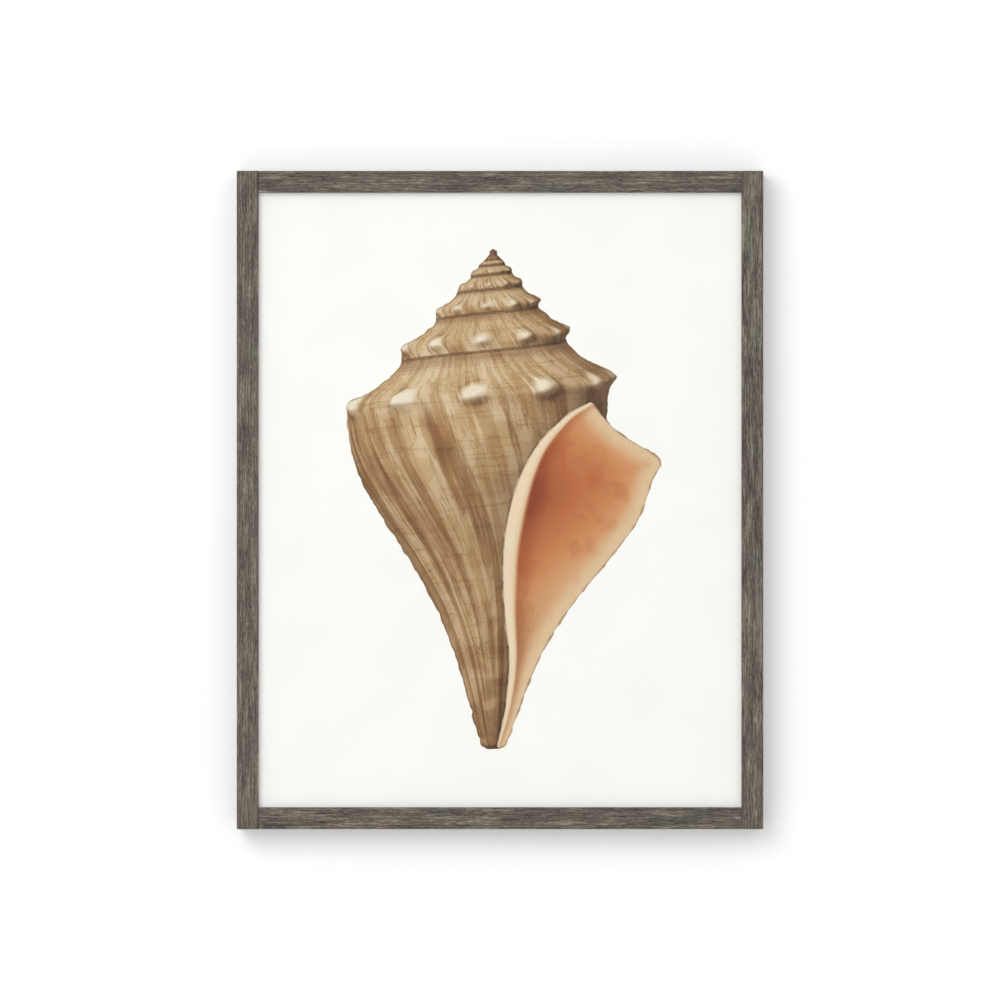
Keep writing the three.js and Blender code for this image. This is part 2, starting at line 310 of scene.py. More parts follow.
def side_place(turn):
    """Where a side stands: its own x runs inwards, y back from the face and z along the grain."""
    angle = QUARTER_TURN * turn
    reach = (cad_high.z - cad_low.z if turn % 2 else cad_high.x - cad_low.x) / 2
    place = Vector((-math.cos(angle) * reach, 0, math.sin(angle) * reach))
    middle = Vector((frame_middle.x, cad_low.y, frame_middle.z))
    return Matrix.Translation(middle + place) @ Matrix.Rotation(angle, 4, "Y")


def moulding(name, length, material, place, seed):
    """A length of the moulding with its grain raised along z."""
    corners = [
        (0, 0, OUTER_EDGE),
        (FACE_WIDTH, 0, SIGHT_EDGE),
        (FACE_WIDTH, LIP_THICKNESS, LIP_BACK_EDGE),
        (WALL_THICKNESS, LIP_THICKNESS, 0),
        (WALL_THICKNESS, FRAME_DEPTH, WALL_BACK_EDGE),
        (0, FRAME_DEPTH, OUTER_EDGE),
    ]
    section = rounded_path(corners, SECTION_STEP)
    around = len(section)
    rings = round(length / GRAIN_STEP) + 1
    out = np.roll(section, -1, 0) - np.roll(section, 1, 0)
    out = np.stack([out[:, 1], -out[:, 0]], 1) / np.linalg.norm(out, axis=1)[:, None]
    random = np.random.default_rng(seed)
    # short ridges over long ones, and then the spots that are worn down
    ridges = grown(random, rings, around, 9, 1.6) * 0.6 + grown(random, rings, around, 30, 3) * 0.4
    worn = np.clip(grown(random, rings, around, 5, 4) - 0.75, 0, 1)
    sunk = GRAIN_DEPTH * ridges + WORN_DEPTH * worn
    flat = section[None] - out[None] * sunk[:, :, None]
    along = np.repeat(np.linspace(-length / 2, length / 2, rings), around)
    points = np.column_stack([flat.reshape(-1, 2), along])
    faces = [list(range(around))]
    for ring in range(rings - 1):
        for k in range(around):
            a = ring * around + k
            b = ring * around + (k + 1) % around
            faces.append([a, a + around, b + around, b])
    faces.append([(rings - 1) * around + k for k in range(around)][::-1])
    return add_piece(name, points, faces, material, place)


def brad_hole(toward, start):
    """The hole for a brad that is driven in at start: a pocket for its head, then its shank."""
    profile = [(-CUT_PAST, BRAD_HEAD), (BRAD_SET, BRAD_HEAD)]
    profile += [(BRAD_SET, BRAD_SHANK), (BRAD_LENGTH, BRAD_SHANK)]
    return moved(turned_form(profile, HOLE_SIDES), toward, start)


stile_length = (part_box("left_stile")[1].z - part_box("left_stile")[0].z) / MM
rail_length = (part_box("top_rail")[1].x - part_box("top_rail")[0].x) / MM
sides = {"left_stile": 0, "top_rail": 1, "right_stile": 2, "bottom_rail": 3}
brads = [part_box(name) for name in sorted(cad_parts) if name.startswith("brad_")]
tabs = [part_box(name) for name in sorted(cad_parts) if name.startswith("framers_point_")]
for name, turn in sides.items():
    place = side_place(turn)
    stands = turn % 2 == 0
    wood = weathered_wood("weathered_wood_" + name, (17.3 * turn, 5.1 * turn, 7.7 * turn))
    side = moulding(name + "_moulding", stile_length if stands else rail_length, wood, place, 40 + turn)
    tools = []
    for low, high in tabs:
        tab = [place.inverted() @ corner / MM for corner in (low, high)]
        low_tab, high_tab = np.min(tab, 0) - SLOT_SLACK, np.max(tab, 0) + SLOT_SLACK
        if low_tab[0] < WALL_THICKNESS:
            tools.append(block(low_tab, (WALL_THICKNESS + CUT_PAST, *high_tab[1:])))
    for low, high in brads:
        start = place.inverted() @ ((low + high) / 2) / MM
        if stands and start.x < stile_length / 10:
            tools.append(brad_hole(None, (0, start.y, start.z)))
        if not stands:
            end = math.copysign(1, start.z)
            toward = Matrix.Rotation(QUARTER_TURN * end, 3, "Y")
            reach = end * (cad_high.x - cad_low.x) / 2 / MM
            tools.append(brad_hole(toward, (start.x, start.y, reach)))
    if not stands:
        face_end = rail_length / 2 - LIP_OVERLAP
        past_end = rail_length / 2 + CUT_PAST
        for low_z, high_z in ((-past_end, -face_end), (face_end, past_end)):
            coped = (FACE_WIDTH + CUT_PAST, LIP_THICKNESS + GLUE_LINE, high_z)
            tools.append(block((-CUT_PAST, -CUT_PAST, low_z), coped))
    for tool in tools:
        carve(side, tool)
    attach(side, "root")
    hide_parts(name)


# ---- The print
# One sheet of heavy cold-pressed cotton paper, printed in colour from a plain natural-history study
# of a knobbed whelk, a common sea shell. It lies loose between the glazing and the board.
PAPER_STEP = 0.8  # between the points that carry the drawing
MARGIN_STEP = 7.0
DRAWN_HALF_WIDTH = 98.0
DRAWN_HALF_HEIGHT = 150.0
SHELL_LENGTH = 290.0  # from the apex to the end of the canal
GROWTH = 1.6  # how many times bigger each turn is than the one before it
LIP_TURN = math.radians(35)  # how far round from the right-hand side the lip's edge stands
LIP_SEAM = 0.3 * SHELL_LENGTH  # how far down from the apex the lip meets the spire
SHOULDER = 1.45  # the depth of a turn's shoulder, in depths of the seam above it
SHOULDER_RADIUS = 1.29  # and its radius
KNOBS = 11  # to a turn
KNOB_DEPTH = 1.40  # where a knob stands down a turn, in depths of the seam above it
KNOB_RISE = 0.10
KNOB_HALF_WIDTH = 0.2  # in the space from one knob to the next
KNOB_HALF_HEIGHT = 0.1
KNOB_SIZE = 0.11  # its radius, as it is painted
AXIS_LEFT = 4.0  # how far the shell's axis lies left of the sheet's middle
APEX_RADIUS = 3.0
HOLLOW_DEPTH = 142.0  # where the mouth is darkest, down from the apex
HOLLOW_REACH = (46.0, 62.0)  # how far that runs above it and below it
PAINTED_LIGHT = (0.5, 0.5, 0.72)  # its share from the left, from above and from in front
STEEPEST = 2.0  # steeper slopes are shaded as this one is
ANGLES_SEEN = 241  # how finely the front half of the shell is looked over
ANGLES_OUTLINED = 181
PLACES_AT_ONCE = 5000  # looked up together, to keep the memory small
# one turn, from seam to seam: depth and radius, in depths of the seam above it
TURN_SECTION = [
    (1.0, 0.80), (1.07, 0.855), (1.16, 0.95), (1.25, 1.07), (1.32, 1.18), (1.38, 1.255),
    (1.45, SHOULDER_RADIUS), (1.52, 1.29), (1.60, 1.28),
]
# the last turn below its shoulder: how far down to the canal's end, and the share of the radius
CANAL_SECTION = [
    (0, 1.0), (0.1, 0.975), (0.2, 0.90), (0.32, 0.74), (0.45, 0.55), (0.6, 0.365), (0.75, 0.235),
    (0.88, 0.15), (0.96, 0.095), (0.99, 0.06), (1, 0.02),
]
# the mouth's inner edge, from the lip to the canal: right of the axis and down from the apex
INNER_EDGE = [(56, 88), (41, 97), (24, 115), (12, 141), (6, 172), (6, 205), (9, 236), (7, 264), (2, 288)]
# how wide the pale inner lip is at each depth
INNER_LIP = [(88, 2.0), (115, 6.0), (150, 9.5), (185, 8.5), (225, 5.5), (260, 3.5), (288, 1.5)]


def eased(x, points):
    """A smooth curve through points of (x, y)."""
    xs, ys = np.array(points, float).T
    slope = np.gradient(ys, xs)
    x = np.clip(x, xs[0], xs[-1])
    i = np.clip(np.searchsorted(xs, x) - 1, 0, len(xs) - 2)
    span = xs[i + 1] - xs[i]
    t = (x - xs[i]) / span
    start = (1 + 2 * t) * (1 - t) ** 2 * ys[i] + t * (1 - t) ** 2 * span * slope[i]
    return start + t**2 * (3 - 2 * t) * ys[i + 1] + t**2 * (t - 1) * span * slope[i + 1]


def shell_wall(turn, depth):
    """The shell's outside at a growth angle and a depth below the apex: its radius, the growth
    angle of the turn that shows there, the way down that turn, how far inside a knob it is and how
    far from a seam."""
    seam = LIP_SEAM * GROWTH ** ((turn - LIP_TURN) / (2 * math.pi))
    older = np.minimum(np.floor(np.log(np.maximum(depth, 0.5) / seam) / math.log(GROWTH)), 0)
    seam_here = seam * GROWTH**older
    turn_here = turn + 2 * math.pi * older
    down = depth / seam_here
    to_canal = (depth - SHOULDER * seam) / (SHELL_LENGTH - SHOULDER * seam)
    in_canal = (older == 0) & (down > SHOULDER)
    below = SHOULDER_RADIUS * eased(to_canal, CANAL_SECTION)
    radius = np.where(in_canal, below, eased(down, TURN_SECTION))
    knob_at = KNOBS * turn_here / (2 * math.pi)
    number = np.round(knob_at)
    uneven = 0.5 + 0.5 * np.sin(number * 12.9)
    along = (knob_at - number) / (KNOB_HALF_WIDTH * (1 + 0.15 * uneven))
    low = (down - KNOB_DEPTH) / (KNOB_HALF_HEIGHT * (1 + 0.15 * uneven))
    radius = radius + KNOB_RISE * np.exp(-1.2 * along**2 - 1.1 * low**2)
    nub = np.sqrt(np.clip(APEX_RADIUS**2 - (APEX_RADIUS - depth) ** 2, 0, None)) / seam_here
    radius = np.where(depth < APEX_RADIUS, np.maximum(radius, nub), radius)
    knob = (1 - np.hypot(along, low)) * KNOB_SIZE * seam_here
    way_down = np.where(in_canal, SHOULDER - 1 + 2 * to_canal, down - 1)
    to_seam = np.where(older == 0, down - 1, np.minimum(down - 1, GROWTH - down)) * seam_here
    return radius * seam_here, turn_here, way_down, knob, to_seam


def front_of_shell(x, depth):
    """What of the shell's outside faces the viewer at each x and depth: how near it is, then what
    shell_wall says of it. Where there is no shell, it is nothing near."""
    around = np.linspace(0, math.pi, ANGLES_SEEN)
    found = np.zeros((5, len(x)))
    for start in range(0, len(x), PLACES_AT_ONCE):
        part = slice(start, start + PLACES_AT_ONCE)
        radius, *drawn = shell_wall(around[None] - 2 * math.pi, depth[part, None])
        gap = radius * np.cos(around) - x[part, None]
        near = radius * np.sin(around)
        crossed = (gap[:, 1:] >= 0) != (gap[:, :-1] >= 0)
        best = np.argmax(np.where(crossed, near[:, 1:], -1), axis=1)
        rows = np.arange(len(best))
        t = gap[rows, best] / np.where(crossed[rows, best], gap[rows, best] - gap[rows, best + 1], 1)
        for kind, value in enumerate((near, *drawn)):
            mixed = value[rows, best] * (1 - t) + value[rows, best + 1] * t
            found[kind, part] = np.where(crossed[rows, best], mixed, 0)
    return found


def signed_distance(x, depth, outline):
    """How far each place lies inside a closed outline, or outside it if the number is negative."""
    nearest = np.full(len(x), 1e9)
    inside = np.zeros(len(x), bool)
    for (ax, ay), (bx, by) in zip(outline, np.roll(outline, -1, 0)):
        length = (bx - ax) ** 2 + (by - ay) ** 2
        if length < 1e-9:
            continue
        t = np.clip(((x - ax) * (bx - ax) + (depth - ay) * (by - ay)) / length, 0, 1)
        nearest = np.minimum(nearest, np.hypot(x - ax - t * (bx - ax), depth - ay - t * (by - ay)))
        if by != ay:
            inside ^= ((ay > depth) != (by > depth)) & (x < ax + (depth - ay) * (bx - ax) / (by - ay))
    return np.where(inside, nearest, -nearest)


def painted_fields(x, depth):
    """The numbers that the washes and lines are laid by, on a grid of places right of the shell's
    axis and down from its apex."""
    down_axis = np.arange(1.0, SHELL_LENGTH, 2.0)
    around = np.linspace(0, math.pi, ANGLES_OUTLINED)[None]
    reach = shell_wall(around - 2 * math.pi, down_axis[:, None])[0] * np.cos(around)
    lip_x = shell_wall(np.full(len(down_axis), LIP_TURN), down_axis)[0] * math.cos(LIP_TURN)
    at_lip = down_axis > LIP_SEAM
    lip_edge = np.column_stack([lip_x, down_axis])[at_lip]
    right = np.column_stack([np.where(at_lip, np.maximum(lip_x, reach.max(1)), reach.max(1)), down_axis])
    left = np.column_stack([reach.min(1), down_axis])
    runs = np.linspace(0, len(INNER_EDGE) - 1, 60)
    inner = np.column_stack([eased(runs, list(enumerate(way))) for way in zip(*INNER_EDGE)])
    outlines = {
        "outline": np.vstack([(0, 0), right, left[::-1]]),
        "mouth": np.vstack([inner, lip_edge[::-1]]),
        "lip": np.vstack([lip_edge, lip_edge[::-1]]),
        "inner": np.vstack([inner, inner[::-1]]),
    }
    flat_x, flat_depth = x.ravel(), depth.ravel()
    fields = {name: signed_distance(flat_x, flat_depth, line) for name, line in outlines.items()}
    shown = front_of_shell(flat_x, flat_depth)
    fields.update(zip(("near", "turn", "way_down", "knob", "to_seam"), shown))
    fields = {name: field.reshape(x.shape) for name, field in fields.items()}
    towards_low, towards_right = np.gradient(fields.pop("near"), depth[:, 0], x[0])
    towards_low = np.clip(towards_low, -STEEPEST, STEEPEST)
    towards_right = np.clip(towards_right, -STEEPEST, STEEPEST)
    from_left, from_above, from_front = PAINTED_LIGHT
    lit = from_above * towards_low + from_left * towards_right + from_front
    fields["light"] = lit / np.sqrt(towards_low**2 + towards_right**2 + 1)
    from_inner, from_lip = -fields["inner"], -fields["lip"]
    share = from_inner / (from_inner + from_lip + 0.01)
    off_hollow = (depth - HOLLOW_DEPTH) / np.where(depth < HOLLOW_DEPTH, *HOLLOW_REACH)
    fields["hollow"] = (1 - share) ** 0.7 * np.exp(-(off_hollow**2))
    fields["inner_lip"] = from_inner / eased(depth, INNER_LIP)
    fields["swept"] = fields["turn"] + 0.4 * fields["way_down"]
    fields["across_mouth"] = share
    fields["depth"] = depth
    return fields


# each mask opens where the number named passes from the first value to the second
MASKS = {
    "shell": ("outline", -0.25, 0.25),
    "pooled": ("outline", 1.6, 0.2),
    "pencil": ("outline", 0.6, 0.2),
    "off_mouth": ("mouth", 0.2, -0.2),
    "in_mouth": ("mouth", -0.2, 0.2),
    "off_knobs": ("knob", 3.2, -1.2),
    "in_knobs": ("knob", -0.8, 2.6),
    "knob_side": ("knob", -3.4, -0.6),
    "inner_line": ("inner", -0.95, -0.35),
    "lip_line": ("lip", -0.9, -0.4),
    "off_rim": ("lip", -2.0, -13.0),
    "off_inner_lip": ("inner_lip", 0.8, 1.15),
    "inner_lip_side": ("inner_lip", 0.45, 1.0),
    "inner_lip_foot": ("inner_lip", 2.4, 1.1),
    "bloomed": ("bloom", 0.3, 0.7),
    "bloom_edge": ("bloom_edge", 0.010, 0.003),
    "dappled": ("bloom", 0.47, 0.60),
    "clouded": ("cloud", 0.42, 0.62),
    "grained": ("tooth", 0.25, 0.7),
    "half_shade": ("light", 0.80, 0.45),
    "shade": ("light", 0.50, 0.22),
    "deep_shade": ("light", 0.25, -0.05),
    "under_seam": ("way_down", 0.16, 0.03),
    "at_seam": ("to_seam", 1.2, 0.5),
    "below_shoulder": ("way_down", 0.36, 0.6),
    "growth_streak": ("growth", 0.49, 0.54),
    "growth_line": ("growth_edge", 0.014, 0.004),
    "flame": ("flames", 0.52, 0.565),
    "flame_core": ("flames", 0.58, 0.64),
    "flame_edge": ("flame_edge", 0.012, 0.004),
    "thread_line": ("thread_edge", 0.02, 0.006),
    "low_down": ("depth", 180.0, 290.0),
    "hollow_pale": ("hollow", 0.02, 0.42),
    "hollow_warm": ("hollow", 0.22, 0.66),
    "hollow_deep": ("hollow", 0.52, 0.95),
    "mouth_low": ("depth", 178.0, 240.0),
    "mouth_left": ("across_mouth", 0.95, 0.45),
}
ON_BODY = ("shell", "off_mouth", "off_knobs")
IN_MOUTH = ("in_mouth", "off_inner_lip", "off_rim")
# colour, strength and where each wash is laid, from the first to the last
WASHES = [
    ("#F6F5F0", 0.15, "clouded"),
    ("#F7EFE1", 1.0, "shell"),
    ("#EBDDC6", 1.0, *ON_BODY),
    ("#E3D2B6", 0.8, *ON_BODY, "bloomed"),
    ("#D4BEA0", 0.5, *ON_BODY, "bloom_edge"),
    ("#DBC7A9", 0.75, *ON_BODY, "growth_streak"),
    ("#CDAE8A", 0.75, *ON_BODY, "flame", "below_shoulder"),
    ("#B99672", 0.65, *ON_BODY, "flame_core", "below_shoulder"),
    ("#BD9F7E", 0.6, *ON_BODY, "flame_edge", "below_shoulder"),
    ("#B59B7C", 0.5, *ON_BODY, "growth_line"),
    ("#C9B496", 0.4, *ON_BODY, "thread_line"),
    ("#DDD2C4", 0.8, "shell", "off_mouth", "half_shade"),
    ("#C0B2A2", 0.8, "shell", "off_mouth", "shade"),
    ("#A39486", 0.8, "shell", "off_mouth", "deep_shade"),
    ("#BCA284", 0.7, *ON_BODY, "under_seam"),
    ("#8C7862", 0.8, "shell", "off_mouth", "at_seam"),
    ("#C9B08E", 0.55, *ON_BODY, "low_down"),
    ("#B79C7A", 0.45, *ON_BODY, "low_down", "dappled"),
    ("#DCC9AE", 0.6, "shell", "off_mouth", "pooled"),
    ("#F0E3D0", 0.5, "shell", "off_mouth", "in_knobs", "bloomed"),
    ("#C4AE92", 0.5, *ON_BODY, "knob_side", "growth_streak"),
    ("#FBEFE0", 1.0, "in_mouth"),
    ("#F8E4CF", 0.95, *IN_MOUTH),
    ("#F4D2B4", 0.9, *IN_MOUTH, "hollow_pale"),
    ("#E7B996", 0.85, *IN_MOUTH, "hollow_warm"),
    ("#C7977A", 0.8, *IN_MOUTH, "hollow_deep"),
    ("#F0DCC8", 0.7, *IN_MOUTH, "dappled"),
    ("#D2B69A", 0.7, *IN_MOUTH, "mouth_low", "mouth_left"),
    ("#D0A684", 0.6, "in_mouth", "off_inner_lip", "inner_lip_foot"),
    ("#E9D6C0", 0.7, "in_mouth", "inner_lip_side"),
    ("#85786A", 0.55, "inner_line", "shell"),
    ("#A8977F", 0.6, "lip_line", "shell"),
    ("#B0A797", 0.4, "pencil", "shell"),
    ("#EEE8DC", 0.8, "shell", "grained"),
]
# noise on the shell: the way it runs, how closely across that way and down a turn, and its detail
MARKINGS = [
    ("growth", "swept", (12, 0.9, 1), 4),
    ("flames", "swept", (4.4, 0.5, 1), 3),
    ("threads", "turn", (0.4, 15, 1), 2),
]
# thin lines: the noise that each follows, and the level at which it runs
EDGES = {
    "growth_edge": ("growth", 0.47),
    "thread_edge": ("threads", 0.47),
    "flame_edge": ("flames", 0.53),
    "bloom_edge": ("bloom", 0.53),
}
PAPER_WHITE = "#F6F6F2"


def watercolour(name, field_names):
    """Cotton paper under transparent washes. Paint pools at the edges of a wash, settles in the
    paper's tooth and dries in blooms, so each wash is uneven at all three scales."""
    material, shader = new_material(name, Roughness=0.93, IOR=1.45)
    noise = "ShaderNodeTexNoise"
    place = millimetres(material)
    tooth = node(material, noise, {"Vector": place, "Scale": 1.1, "Detail": 3, "Roughness": 0.7})
    wobble = node(material, noise, {"Vector": place, "Scale": 0.16, "Detail": 4, "Roughness": 0.6})
    bloom = node(material, noise, {"Vector": place, "Scale": 0.06, "Detail": 4, "Distortion": 0.3})
    cloud = node(material, noise, {"Vector": place, "Scale": 0.028, "Detail": 3})
    field = {key: node(material, "ShaderNodeAttribute", attribute_name=key) for key in field_names}
    field = {key: made.outputs["Fac"] for key, made in field.items()}
    unsteady = node(
        material,
        "ShaderNodeMapRange",
        {"Value": wobble.outputs["Fac"], "From Min": 0.3, "From Max": 0.7, "To Min": -0.7, "To Max": 0.7},
    )
    for key in ("outline", "mouth", "knob", "lip"):
        field[key] = node(material, "ShaderNodeMath", {0: field[key], 1: unsteady}, operation="ADD")
    # the shell's own markings: growth lines and flames swept across each turn, and threads along it
    for key, way, stretch, detail in MARKINGS:
        round_shell = node(material, "ShaderNodeCombineXYZ", {"X": field[way], "Y": field["way_down"]})
        along = node(material, "ShaderNodeMapping", {"Vector": round_shell, "Scale": stretch})
        made = node(material, noise, {"Vector": along, "Scale": 1.0, "Detail": detail, "Roughness": 0.6})
        field[key] = made.outputs["Fac"]
    field.update({"tooth": tooth, "bloom": bloom.outputs["Fac"], "cloud": cloud})
    for key, (source, level) in EDGES.items():
        off_level = node(material, "ShaderNodeMath", {0: field[source], 1: level}, operation="SUBTRACT")
        field[key] = node(material, "ShaderNodeMath", {0: off_level}, operation="ABSOLUTE")
    masks = {}
    for key, (source, start, full) in MASKS.items():
        masks[key] = node(
            material,
            "ShaderNodeMapRange",
            {"Value": field[source], "From Min": start, "From Max": full},
            interpolation_type="SMOOTHSTEP",
        )
    colour = None
    for pigment, strength, *where in WASHES:
        amount = strength
        for key in where:
            amount = node(material, "ShaderNodeMath", {0: amount, 1: masks[key]}, operation="MULTIPLY")
        under = colour if colour else linear(PAPER_WHITE)
        colour = node(
            material,
            "ShaderNodeMix",
            {"Factor": amount, "A": under, "B": linear(pigment)},
            data_type="RGBA",
            blend_type="MULTIPLY",
        )
    relief = node(
        material,
        "ShaderNodeBump",
        {"Height": tooth, "Strength": 0.055, "Distance": 0.1 * MM},
    )
    drive(material, shader, Base_Color=colour, Normal=relief)
    return material


def run_of(low, high, drawn_half):
    """Places from low to high, close together for drawn_half each side of the middle."""
    middle = (low + high) / 2
    sparse = max(2, round(((high - low) / 2 - drawn_half) / MARGIN_STEP))
    before = np.linspace(low, middle - drawn_half, sparse)
    drawn = np.linspace(middle - drawn_half, middle + drawn_half, round(2 * drawn_half / PAPER_STEP))
    after = np.linspace(middle + drawn_half, high, sparse)
    return np.concatenate([before[:-1], drawn, after[1:]])


def grid_squares(number):
    """The squares between the points of a grid, from the points' numbers."""
    corners = [number[:-1, :-1], number[1:, :-1], number[1:, 1:], number[:-1, 1:]]
    return np.stack(corners, -1).reshape(-1, 4)


sheet_low, sheet_high = (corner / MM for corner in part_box("print_sheet"))
columns = run_of(sheet_low.x, sheet_high.x, DRAWN_HALF_WIDTH)
rows = run_of(sheet_low.z, sheet_high.z, DRAWN_HALF_HEIGHT)
across, up = np.meshgrid(columns, rows[::-1])
shell_x = across - (sheet_low.x + sheet_high.x) / 2 + AXIS_LEFT
shell_depth = (sheet_low.z + sheet_high.z) / 2 - up + SHELL_LENGTH / 2
fields = painted_fields(shell_x, shell_depth)
number = np.arange(across.size).reshape(across.shape)
rim = np.concatenate([number[0, :-1], number[:-1, -1], number[-1, :0:-1], number[:0:-1, 0]])
front = np.column_stack([across.ravel(), np.full(across.size, sheet_low.y), up.ravel()])
behind_rim = len(front) + np.arange(len(rim))
squares = grid_squares(number)
edges = np.stack([rim, np.roll(rim, -1), np.roll(behind_rim, -1), behind_rim], -1)
faces = squares.tolist() + edges.tolist() + [behind_rim.tolist()]
points = np.vstack([front, front[rim] + (0, sheet_high.y - sheet_low.y, 0)])
paper = watercolour("watercolour_on_cotton_paper", list(fields))
print_piece = add_piece("print_on_cotton_paper", points, faces, paper)
for name, values in fields.items():
    laid = print_piece.data.attributes.new(name, "FLOAT", "POINT")
    padded = np.concatenate([values.ravel(), values.ravel()[rim]]).astype(np.float32)
    laid.data.foreach_set("value", padded)
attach(print_piece, "root")
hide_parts("print_sheet")


# ---- The glazing
# A sheet of clear cast acrylic, sawn to size with its edges eased and both faces polished, so it is
# smooth enough to reflect the room and lets the print's colours through.
GLAZING_EDGE = 0.2
SHEET_SMOOTH_BELOW = 20


def eased_sheet(name, node_name, edge, material):
    """A flat sheet the size of its CAD node, with its edges eased."""
    low, high = (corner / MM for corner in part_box(node_name))
    piece = add_piece(name, *block(low, high), material)
    form = bmesh.new()
    form.from_mesh(piece.data)
    bmesh.ops.bevel(form, geom=form.edges[:], offset=edge * MM, segments=2, affect="EDGES", profile=0.5)
    form.to_mesh(piece.data)
    form.free()
    piece.data.set_sharp_from_angle(angle=math.radians(SHEET_SMOOTH_BELOW))
    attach(piece, "root")
    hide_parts(node_name)
    return piece


acrylic, acrylic_shader = new_material("clear_cast_acrylic", Transmission_Weight=1.0, IOR=1.49)
polish = node(acrylic, "ShaderNodeTexNoise", {"Vector": millimetres(acrylic), "Scale": 0.05, "Detail": 4})
polish = node(
    acrylic,
    "ShaderNodeMapRange",
    {"Value": polish, "From Min": 0.3, "From Max": 0.7, "To Min": 0.0, "To Max": 0.03},
)
drive(acrylic, acrylic_shader, Roughness=polish)
glazing = eased_sheet("acrylic_glazing", "glazing", GLAZING_EDGE, acrylic)
glazing.visible_shadow = False
glazing.visible_diffuse = False


# ---- The backing board
# 3 mm hardboard: wood fibres pressed hot, brown and smooth, with darker and paler fibres that show
# in it and a faintly rubbed look on the back.
BOARD_EDGE = 0.35

board_brown, board_shader = new_material("pressed_hardboard", IOR=1.5)
board_place = millimetres(board_brown)
fibres = node(
    board_brown,
    "ShaderNodeTexNoise",
    {"Vector": board_place, "Scale": 0.9, "Detail": 6, "Roughness": 0.75, "Distortion": 1.5},
)
rubbed = node(board_brown, "ShaderNodeTexNoise", {"Vector": board_place, "Scale": 0.012, "Detail": 3})
flecks = node(board_brown, "ShaderNodeTexVoronoi", {"Vector": board_place, "Scale": 0.6})
board_stops = [(0.34, "#573823"), (0.5, "#73502F"), (0.64, "#957046")]
board_colour = node(board_brown, "ShaderNodeValToRGB", {"Fac": fibres}, board_stops)
where_rubbed = node(
    board_brown,
    "ShaderNodeMapRange",
    {"Value": rubbed.outputs["Fac"], "From Min": 0.3, "From Max": 0.75, "To Max": 0.4},
)
board_colour = node(
    board_brown,
    "ShaderNodeMix",
    {"Factor": where_rubbed, "A": board_colour, "B": linear("#A08562")},
    data_type="RGBA",
)
where_fleck = node(
    board_brown,
    "ShaderNodeMapRange",
    {"Value": flecks.outputs["Distance"], "From Min": 0.26, "From Max": 0.14, "To Max": 0.5},
)
board_colour = node(
    board_brown,
    "ShaderNodeMix",
    {"Factor": where_fleck, "A": board_colour, "B": linear("#46301F")},
    data_type="RGBA",
)
board_gloss = node(
    board_brown,
    "ShaderNodeMapRange",
    {"Value": fibres, "From Min": 0.3, "From Max": 0.7, "To Min": 0.55, "To Max": 0.8},
)
board_bump = {"Height": fibres, "Strength": 0.4, "Distance": 0.1 * MM}
board_relief = node(board_brown, "ShaderNodeBump", board_bump)
drive(board_brown, board_shader, Base_Color=board_colour, Roughness=board_gloss, Normal=board_relief)
board = eased_sheet("hardboard_back", "backing_board", BOARD_EDGE, board_brown)


# ---- The framer's points and the toothed hanger
# Stamped from zinc-plated steel strip. A point is driven into the rabbet's wall and bent to bear
# on the board; the hanger's middle is raised so that a nail's head fits behind its teeth.
POINT_TIP = 2.6  # how far the driven end tapers
POINT_BLUNT = 0.12  # the share of the width that is left at the tip
POINT_LIFT = 1.1  # how far the free end turns up
POINT_LIFT_FROM = 5.0  # from the tip, just outside the wall
POINT_LIFT_RUN = 10.0
POINT_RIB = 0.35
POINT_RIB_FROM = 5.2
POINT_RIB_TO = 13.0
POINT_RIB_HALF_WIDTH = 0.8
POINT_STEEL = 0.45
HANGER_STEEL = 0.8
HANGER_RAISE = 1.5
HANGER_RAISED_HALF = 14.0
HANGER_RAMP = 2.5
TOOTH_PITCH = 3.0
TOOTH_DEPTH = 1.8
TOOTH_COUNT = 9
TOOTH_BLUNT = 1.06  # over 1, the notches' roots are a little flat
MIDDLE_NOTCH = 2.4
HANGER_STEP = 0.25
HANGER_CORNER = 1.6
BEAD_RISE = 0.25  # the stiffening bead along the raised part
BEAD_UP = 6.2
BEAD_HALF_WIDTH = 0.9
RIVET_HOLE = 1.3
RIVET_HOLE_SIDES = 28


def pressed_plate(grid, thickness):
    """Points and faces of a plate of steel from a grid of points on one face and the other face's
    offset from it."""
    count = grid[:, :, 0].size
    number = np.arange(count).reshape(grid.shape[:2])
    squares = grid_squares(number)
    rim = np.concatenate([number[:-1, 0], number[-1, :-1], number[:0:-1, -1], number[0, :0:-1]])
    ahead = np.roll(rim, -1)
    edges = np.stack([rim, rim + count, ahead + count, ahead], -1)
    backs = (squares + count)[:, ::-1]
    faces = squares.tolist() + backs.tolist() + edges.tolist()
    flat = grid.reshape(-1, 3)
    return np.vstack([flat, flat + thickness]), faces


# bright zinc is a cool grey, a little cloudy where its crystals differ, over fine rolling lines
zinc, zinc_shader = new_material("zinc_plated_steel", Metallic=1.0)
clouds = node(zinc, "ShaderNodeTexNoise", {"Vector": millimetres(zinc), "Scale": 0.7, "Detail": 3})
rolled_way = millimetres(zinc, (0.15, 2, 4))
rolled = node(zinc, "ShaderNodeTexNoise", {"Vector": rolled_way, "Scale": 1.5, "Detail": 3})
zinc_stops = [(0.35, "#A9ADB0"), (0.65, "#C6C9CB")]
zinc_colour = node(zinc, "ShaderNodeValToRGB", {"Fac": clouds}, zinc_stops)
zinc_gloss = node(
    zinc,
    "ShaderNodeMapRange",
    {"Value": rolled, "From Min": 0.3, "From Max": 0.7, "To Min": 0.26, "To Max": 0.46},
)
zinc_relief = node(zinc, "ShaderNodeBump", {"Height": rolled, "Strength": 0.15, "Distance": 0.05 * MM})
drive(zinc, zinc_shader, Base_Color=zinc_colour, Roughness=zinc_gloss, Normal=zinc_relief)
